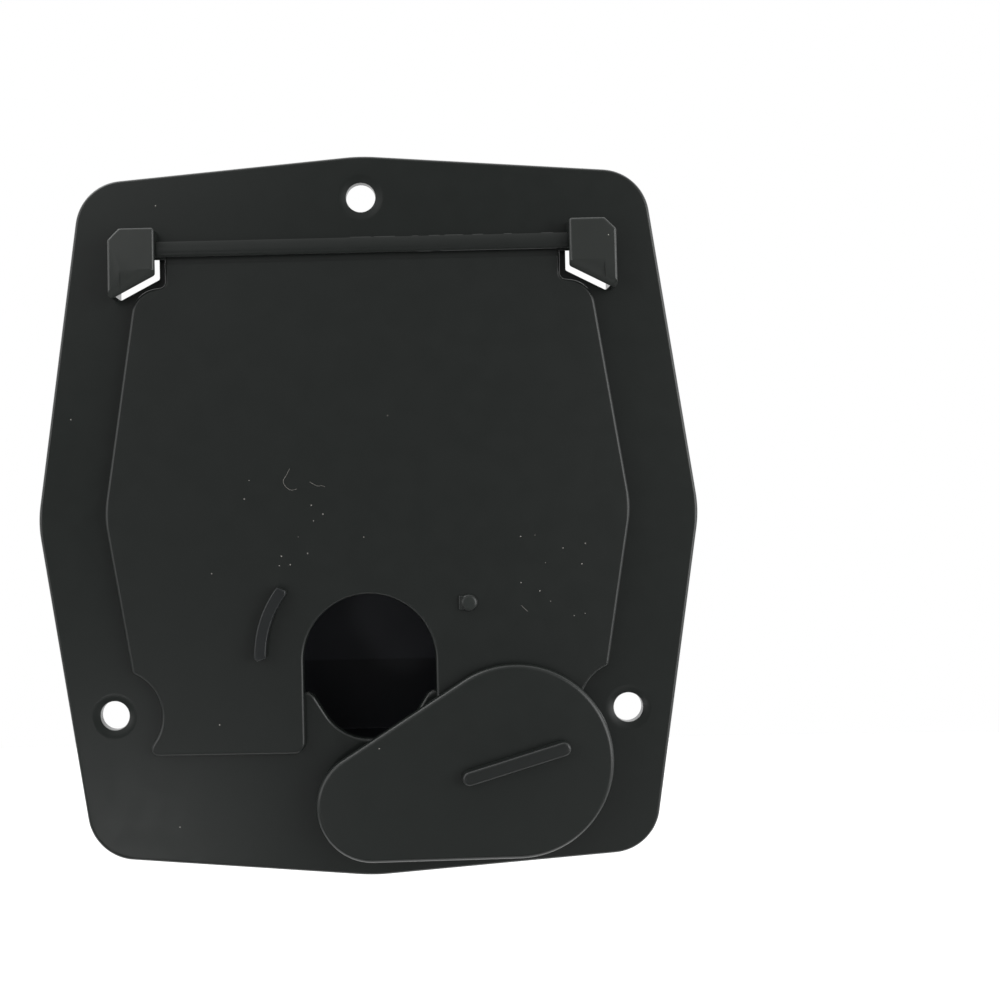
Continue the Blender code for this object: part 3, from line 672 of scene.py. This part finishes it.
def barrel_marks():
    """Flash along the barrel's top, the parting line below its front, and the stub of the gate."""
    top_y = HINGE_Y + BARREL_RADIUS
    fins = [rounded(box_corners(start, top_y - 0.1, end, top_y + 0.12)) for start, end in FLASH]
    seam_y = HINGE_Y - 1.37
    seam_out = BARREL_FRONT - BARREL_RADIUS + 1.5
    seams = [[(start, seam_y, seam_out), (end, seam_y, seam_out)] for start, end in SEAM]
    stub = rounded(box_corners(-2.4, HINGE_Y + 1.3, 2.1, HINGE_Y + 2.0, 0.15))
    marks = [strand(seam, 0.06) for seam in seams] + [plate(fin, 5.7, 5.8) for fin in fins]
    return marks + [plate(stub, 5.0, 5.6)]


def make_door():
    tip = 0.3
    pin = [(0, PIN_END_X)] + quarter(BARREL_RADIUS - tip, PIN_END_X - tip, tip, pi / 2, 0)
    pin += quarter(BARREL_RADIUS - tip, tip - PIN_END_X, tip, 0, -pi / 2) + [(0, -PIN_END_X)]
    groove = rounded(box_corners(-GROOVE_END_X, HINGE_Y + GROOVE_LOW, GROOVE_END_X, HINGE_Y + GROOVE_HIGH))
    front_half = rounded(box_corners(-CROWN_END_X, HINGE_Y - 2.2, CROWN_END_X, HINGE_Y + 4))
    lip = plate(
        lip_outline(0), DOOR_BACK - 2.1, DOOR_BACK + SINK, backs=0.2,
        holes=[(lip_outline(1.4), 0, 0.2)],
    )
    pip_x = PIP_REACH * cos(PIP_ANGLE)
    pip_y = CLOSED_Y + PIP_REACH * sin(PIP_ANGLE)
    block = rounded(box_corners(pip_x - 2.15, pip_y - 1.5, pip_x - 0.9, pip_y + 1.5, 0.3))
    pins = [(x, y) for x in (-28, 28) for y in (-22, 6, 34)]
    hairs = [[(x, y, DOOR_FRONT + 0.03) for x, y in hair] for hair in HAIRS]
    door = shaped(
        plate(door_outline(), DOOR_BACK, DOOR_FRONT, fronts=0.7, backs=0.15),
        ("J", moved(along_x(turned(pin, 72)), 0, HINGE_Y, HINGE_OUT)),
        ("C", plate(groove, DOOR_FRONT - GROOVE_DEPTH, BARREL_FRONT + PAST)),
        ("C", plate(front_half, HINGE_OUT, BARREL_FRONT + PAST)),
        ("J", slab(crown_section(), -CROWN_END_X, CROWN_END_X, "X")),
        ("J", lip),
        ("J", plate(rib_outline(), DOOR_FRONT - SINK, COVER_BACK + 1.5, fronts=0.35)),
        ("J", plate(circle(pip_x, pip_y, PIP_RADIUS), DOOR_FRONT - SINK, DOOR_FRONT + PIP_RISE, fronts=0.75)),
        ("J", plate(block, DOOR_FRONT - SINK, DOOR_FRONT + 0.6, fronts=0.28)),
        *[ejector_mark(x, y, DOOR_BACK, 2.0) for x, y in pins],
    )
    # The pip's top takes a paler grey
    for face in door.polygons:
        on_pip = (face.center.xy - Vector((pip_x, pip_y))).length < PIP_RADIUS
        if on_pip and face.center.z > DOOR_FRONT + PIP_RISE - 0.1:
            face.material_index = 3
    return marked(
        door,
        *[(speck(x, y, DOOR_FRONT, radius), 1) for x, y, radius in DOOR_DUST],
        *[(strand(hair, 0.028), 1) for hair in hairs],
        # The flash, the parting line and the gate's stub take the painted highlight
        *[(mark, 2) for mark in barrel_marks()],
    )


def sink_mark(x, y, level, radius, depth):
    """The soft dent that a thick place behind leaves in a moulding's face."""
    steps = [(radius * (1 - i / 8), level - depth * (1 - (1 - i / 8) ** 2)) for i in range(9)]
    return "C", moved(turned([(0, level + PAST), (radius, level + PAST)] + steps), x, y)


def teardrop():
    lean = asin((ROUND_END - PIVOT_END) / COVER_REACH)
    round_end = arc(0, COVER_REACH, ROUND_END, -lean, pi + lean)
    return round_end + arc(0, 0, PIVOT_END, pi + lean, 2 * pi - lean)


def make_cover():
    """The teardrop, drawn pointing up from its pivot and then turned to where the photograph has it."""
    rib_half = 1.5
    finger_rib = rounded(box_corners(-rib_half, COVER_REACH - 11.9, rib_half, COVER_REACH + 11.5, rib_half))
    hook = POST_LEDGE - GAP
    post = [(0, COVER_BACK + SINK), (POST_RADIUS, COVER_BACK + SINK), (POST_RADIUS, hook), (3.9, hook)]
    post += [(4, hook - 0.1), (4, 1.8), (2.3, 0.4), (0, 0.4)]
    split = rounded(box_corners(-0.6, -5, 0.6, 5))
    data = shaped(
        plate(teardrop(), COVER_BACK, COVER_FRONT, fronts=1.0, backs=0.2, segments=6),
        ("J", turned(post)),
        ("C", plate(split, -PAST, 4.55)),
        ("J", plate(finger_rib, COVER_FRONT - SINK, COVER_FRONT + 2.8, fronts=0.6)),
        sink_mark(0, 0, COVER_FRONT, 2.6, 0.03),
    )
    marked(data, (speck(-11.3, 5.2, COVER_FRONT, 0.14), 1))
    data.transform(Matrix.Translation((0, PIVOT_Y, 0)) @ Matrix.Rotation(COVER_TURN, 4, "Z"))
    return data


def drafted(data):
    """Draw the box's sides in toward the rear, so that it leaves its mould."""
    for vertex in data.vertices:
        inward = DRAFT * vertex.co.z / BOX_BACK
        vertex.co.x -= vertex.co.x / BOX_HALF_X * inward
        vertex.co.y -= (vertex.co.y - BOX_MIDDLE_Y) / BOX_HALF_Y * inward
    return data


def make_box():
    port_y = COLLAR_TOP_Y + BOX_OUTSIDE - PORT_BELOW_TOP
    shell = drafted(plate(collar_outline(BOX_OUTSIDE), BOX_BACK, 0.3, fronts=0.2, backs=3.0, segments=6))
    hollow = drafted(plate(collar_outline(BOX_INSIDE), BOX_FLOOR, PAST, backs=0.4))
    catches = []
    low_x = COLLAR_X + COLLAR_WALL
    for side in (-1, 1):
        for end in (-1, 1):
            y = end * BARB_SPREAD + BOX_MIDDLE_Y
            window = box_corners(low_x, y - BARB_HALF - GAP, low_x + 3.6, y + BARB_HALF + GAP)
            catches.append(("C", plate(rounded(mirrored(window, side)), BARB_REAR - GAP, BARB_FRONT + GAP)))
    box = shaped(
        shell,
        ("C", hollow),
        ("J", plate(circle(0, port_y, PORT_RIM), PORT_BACK, BOX_BACK + SINK, backs=0.5)),
        ("C", plate(circle(0, port_y, PORT_RADIUS), PORT_BACK - PAST, BOX_FLOOR + PAST)),
        *catches,
    )
    # The walls that look inward, and the floor, take the painted light of the box's inside
    for face in box.polygons:
        outward = face.center.x * face.normal.x + (face.center.y - BOX_MIDDLE_Y) * face.normal.y
        if face.center.z > BOX_FLOOR - 0.2 and (outward < -1 or face.normal.z > 0.9):
            face.material_index = 1
    return box


def linear(hex_colour):
    """An sRGB colour as linear light."""
    shades = [int(hex_colour[i:i + 2], 16) / 255 for i in (0, 2, 4)]
    return [s / 12.92 if s < 0.04045 else ((s + 0.055) / 1.055) ** 2.4 for s in shades] + [1]


def scaled(colour, share):
    """A linear colour made lighter or darker."""
    return [shade * share for shade in colour[:3]] + [1]


def add(tree, kind, links=(), **settings):
    """A node with its settings and links; a link is (input, other node, that node's output)."""
    node = tree.nodes.new(kind)
    for name, value in settings.items():
        if name.startswith("in_"):
            node.inputs[int(name[3:]) if name[3:].isdigit() else name[3:]].default_value = value
        else:
            setattr(node, name, value)
    for to, other, out in links:
        tree.links.new(other.outputs[out], node.inputs[to])
    return node


def moulded_abs(name, colour, roughness, paler, along, low, high):
    """Black ABS from a spark-eroded mould, which turns paler from low to high along an axis.

    Faint clouds keep the black from looking painted, and they reach the sheen too. The fine grain blurs
    what the surface mirrors, so that the studio shows in it as soft light alone.
    """
    material = bpy.data.materials.new(name)
    material.use_nodes = True
    tree = material.node_tree
    shader = tree.nodes["Principled BSDF"]
    # ABS is near 1.54, and 1.5 gives the photograph's sheen
    shader.inputs["IOR"].default_value = 1.5
    place = add(tree, "ShaderNodeTexCoord")
    clouds = add(
        tree, "ShaderNodeTexNoise", [("Vector", place, "Object")], in_Scale=CLOUDS_PER_METRE, in_Detail=4.0,
    )
    black = linear(colour)
    cloudy = add(
        tree, "ShaderNodeMix", [(0, clouds, "Fac")], data_type="RGBA", in_6=black, in_7=scaled(black, 1.08),
    )
    axes = add(tree, "ShaderNodeSeparateXYZ", [(0, place, "Object")])
    share = add(
        tree, "ShaderNodeMapRange", [(0, axes, along)], interpolation_type="SMOOTHSTEP",
        in_1=low, in_2=high, in_3=0.0, in_4=1.0,
    )
    tone = add(
        tree, "ShaderNodeMix", [(0, share, 0), (6, cloudy, 2)], data_type="RGBA", in_7=linear(paler),
    )
    tree.links.new(tone.outputs[2], shader.inputs["Base Color"])
    sheen = add(
        tree, "ShaderNodeMapRange", [(0, clouds, "Fac")], interpolation_type="SMOOTHSTEP",
        in_1=0.3, in_2=0.7, in_3=roughness - 0.012, in_4=roughness + 0.012,
    )
    tree.links.new(sheen.outputs[0], shader.inputs["Roughness"])
    grain = add(
        tree, "ShaderNodeTexNoise", [("Vector", place, "Object")], in_Scale=GRAINS_PER_METRE, in_Detail=2.0,
    )
    bump = add(tree, "ShaderNodeBump", [("Height", grain, "Fac")], in_Strength=0.06, in_Distance=0.00003)
    tree.links.new(bump.outputs[0], shader.inputs["Normal"])
    return material


def patchy_mark(name, colour, roughness):
    """The stuff of small pale marks, in lighter and duller patches, so that no two look the same."""
    material = bpy.data.materials.new(name)
    material.use_nodes = True
    tree = material.node_tree
    shader = tree.nodes["Principled BSDF"]
    place = add(tree, "ShaderNodeTexCoord")
    patches = add(tree, "ShaderNodeTexNoise", [("Vector", place, "Object")], in_Scale=CLUMPS_PER_METRE)
    pale = linear(colour)
    tone = add(
        tree, "ShaderNodeMix", [(0, patches, "Fac")], data_type="RGBA", in_6=scaled(pale, 0.6), in_7=pale,
    )
    tree.links.new(tone.outputs[2], shader.inputs["Base Color"])
    shader.inputs["Roughness"].default_value = roughness
    return material


def soft_box(name, place, target, size, watts):
    """A lamp panel that looks at the target; sizes and places are in metres."""
    lamp = bpy.data.lights.new(name, "AREA")
    lamp.shape = "RECTANGLE"
    lamp.size, lamp.size_y = size
    lamp.energy = watts
    panel = bpy.data.objects.new(name, lamp)
    panel.location = place
    panel.rotation_euler = (Vector(target) - Vector(place)).to_track_quat("-Z", "Y").to_euler()
    bpy.context.scene.collection.objects.link(panel)


def add_floor():
    """A plain pale floor under the hatch. Faces that look down mirror it where it reaches forward."""
    data = bpy.data.meshes.new("floor")
    mesh = bmesh.new()
    bmesh.ops.create_grid(mesh, x_segments=1, y_segments=1, size=1.0)
    mesh.transform(Matrix.Translation((0, 0.84, -0.40)))
    mesh.to_mesh(data)
    mesh.free()
    material = bpy.data.materials.new("floor_paint")
    material.use_nodes = True
    shader = material.node_tree.nodes["Principled BSDF"]
    shader.inputs["Base Color"].default_value = (0.9, 0.9, 0.9, 1)
    shader.inputs["Roughness"].default_value = 0.9
    data.materials.append(material)
    floor = bpy.data.objects.new("floor", data)
    bpy.context.scene.collection.objects.link(floor)


def add_world():
    """White to the camera; to the hatch, dim in front of it and brighter toward the sides and behind.

    The black face mirrors the dim room in front, and its rims mirror the white paper beside and behind.
    """
    scene = bpy.context.scene
    world = bpy.data.worlds.new("studio")
    scene.world = world
    world.use_nodes = True
    tree = world.node_tree
    place = add(tree, "ShaderNodeTexCoord")
    axes = add(tree, "ShaderNodeSeparateXYZ", [(0, place, "Generated")])
    # 1 + Y + 0.3 Z is near 0 in front of the hatch, 1 beside it and 2 behind it
    lift = add(tree, "ShaderNodeMath", [(0, axes, "Z")], operation="MULTIPLY_ADD", in_1=0.3, in_2=1.0)
    behind = add(tree, "ShaderNodeMath", [(0, axes, "Y"), (1, lift, 0)], operation="ADD")
    room = add(
        tree, "ShaderNodeMapRange", [(0, behind, 0)], interpolation_type="SMOOTHSTEP",
        in_1=0.0, in_2=0.7, in_3=0.17, in_4=0.38,
    )
    paper = add(
        tree, "ShaderNodeMapRange", [(0, behind, 0)], interpolation_type="SMOOTHSTEP",
        in_1=0.8, in_2=1.2, in_3=0.0, in_4=1.0,
    )
    height = add(tree, "ShaderNodeMath", [(0, axes, "Z")], operation="MULTIPLY_ADD", in_1=0.45, in_2=1.0)
    level = add(tree, "ShaderNodeMath", [(0, room, 0), (1, paper, 0)], operation="ADD")
    tent = add(tree, "ShaderNodeMath", [(0, level, 0), (1, height, 0)], operation="MULTIPLY")
    path = add(tree, "ShaderNodeLightPath")
    seen = add(tree, "ShaderNodeMix", [(0, path, "Is Camera Ray"), (2, tent, 0)], in_3=1.0)
    background = tree.nodes["Background"]
    background.inputs["Color"].default_value = (1, 1, 1, 1)
    tree.links.new(seen.outputs[0], background.inputs["Strength"])


def add_camera():
    """The photograph's viewpoint: 320 mm in front of the flange, a little to the right of its middle."""
    lens = bpy.data.cameras.new("camera")
    lens.sensor_width = 36
    lens.lens = 54.42
    lens.shift_x = 0.13
    lens.shift_y = 0.015
    lens.clip_start = 0.01
    camera = bpy.data.objects.new("camera", lens)
    pan, tilt, roll = radians(-1.16), radians(-0.533), radians(1.145)
    seen = Matrix.Rotation(-roll, 3, "Y") @ Matrix.Rotation(-tilt, 3, "X") @ Matrix.Rotation(pan, 3, "Z")
    right, forward, up = seen[0], seen[1], seen[2]
    turn = Matrix((right, up, -forward)).transposed().to_4x4()
    camera.matrix_world = Matrix.Translation((0.00713, -0.323, 0.00327 - 0.001 * HINGE_Y)) @ turn
    bpy.context.scene.collection.objects.link(camera)
    bpy.context.scene.camera = camera


add_camera()
add_world()
add_floor()

# Two wide soft boxes beside the hatch draw its left and right rims
soft_box("left", (-1.0, -0.70, 0.15), (0, 0, -0.05), (0.9, 0.9), 4.5)
soft_box("right", (1.0, -0.70, 0.05), (0, 0, -0.05), (0.9, 0.9), 9.0)

# Small weak panels in front are mirrored as soft light patches, and one above draws the upper rims
soft_box("high_left", (-0.30, -0.95, 0.34), (-0.05, 0, 0.02), (0.3, 0.3), 0.22)
soft_box("high_right", (0.42, -0.95, 0.10), (0.05, 0, -0.05), (0.3, 0.6), 0.12)
soft_box("top_left", (-0.55, -0.15, 0.80), (0, 0, -0.05), (0.5, 0.5), 2.6)
soft_box("low_left", (-0.25, -0.95, -0.36), (-0.05, 0, -0.12), (0.12, 0.12), 0.24)
soft_box("low_right", (0.25, -0.95, -0.45), (0.04, 0, -0.11), (0.3, 0.3), 0.14)

# Dust grains and hairs of cotton lint: grey-white and dull, so that they stand out against the black
lint = patchy_mark("cotton_lint", "a8a6a0", 0.9)

# A grey painted highlight on the flash, the parting line and the gate's stub, for the light these thin ridges
# catch
whitened = patchy_mark("strain_whitened_abs", "4c4e4d", 0.5)

# The frame has the tightest sheen. The ears' fronts are painted a paler grey, a painted sheen for the light
# their faces catch
frame_abs = moulded_abs("moulded_abs_frame", "181c1a", 0.30, "2c2f2d", "Y", -0.0076, -0.0083)

# The door is a shade blacker and duller, with a slightly greyer top on its stop rib
door_abs = moulded_abs("moulded_abs_door", "161a18", 0.36, "191c1d", "Y", -0.0074, -0.0079)

# The pip's top is grey all over, a small light disc
pip_top_abs = moulded_abs("pip_top_paler_abs", "272b29", 0.34, "272b29", "Y", -0.0074, -0.0079)

# The cover, between the two, with a slightly greyer top on its finger rib
cover_abs = moulded_abs("moulded_abs_cover", "191d1b", 0.34, "1b1e1d", "Y", -0.0090, -0.0100)

# The box has the plainest, dullest finish, a little greyer toward the rim of its port
box_abs = moulded_abs("moulded_abs_box", "161a18", 0.38, "191c1b", "Y", 0.0340, 0.0400)

# Painted light on the box's inner faces: a blue-grey that stands for the light let in through the notch,
# paler above a level edge and less so below it; through the notch it shows as a lighter upper part
inside_painted_light = moulded_abs("box_inside_painted_light", "30333a", 0.45, "4c4f58", "Z", -0.0912, -0.0904)

door_finishes = [door_abs, lint, whitened, pip_top_abs]
finish_piece("frame_shell", make_frame(), [frame_abs, lint], "hatch_frame", "frame")
finish_piece("door_shell", make_door(), door_finishes, "door", "door")
finish_piece("cover_shell", make_cover(), [cover_abs, lint], "cord_cover", "cord_cover")
finish_piece("box_shell", make_box(), [box_abs, inside_painted_light], "hatch_frame", "back_box")
bpy.context.scene.view_settings.view_transform = "Standard"
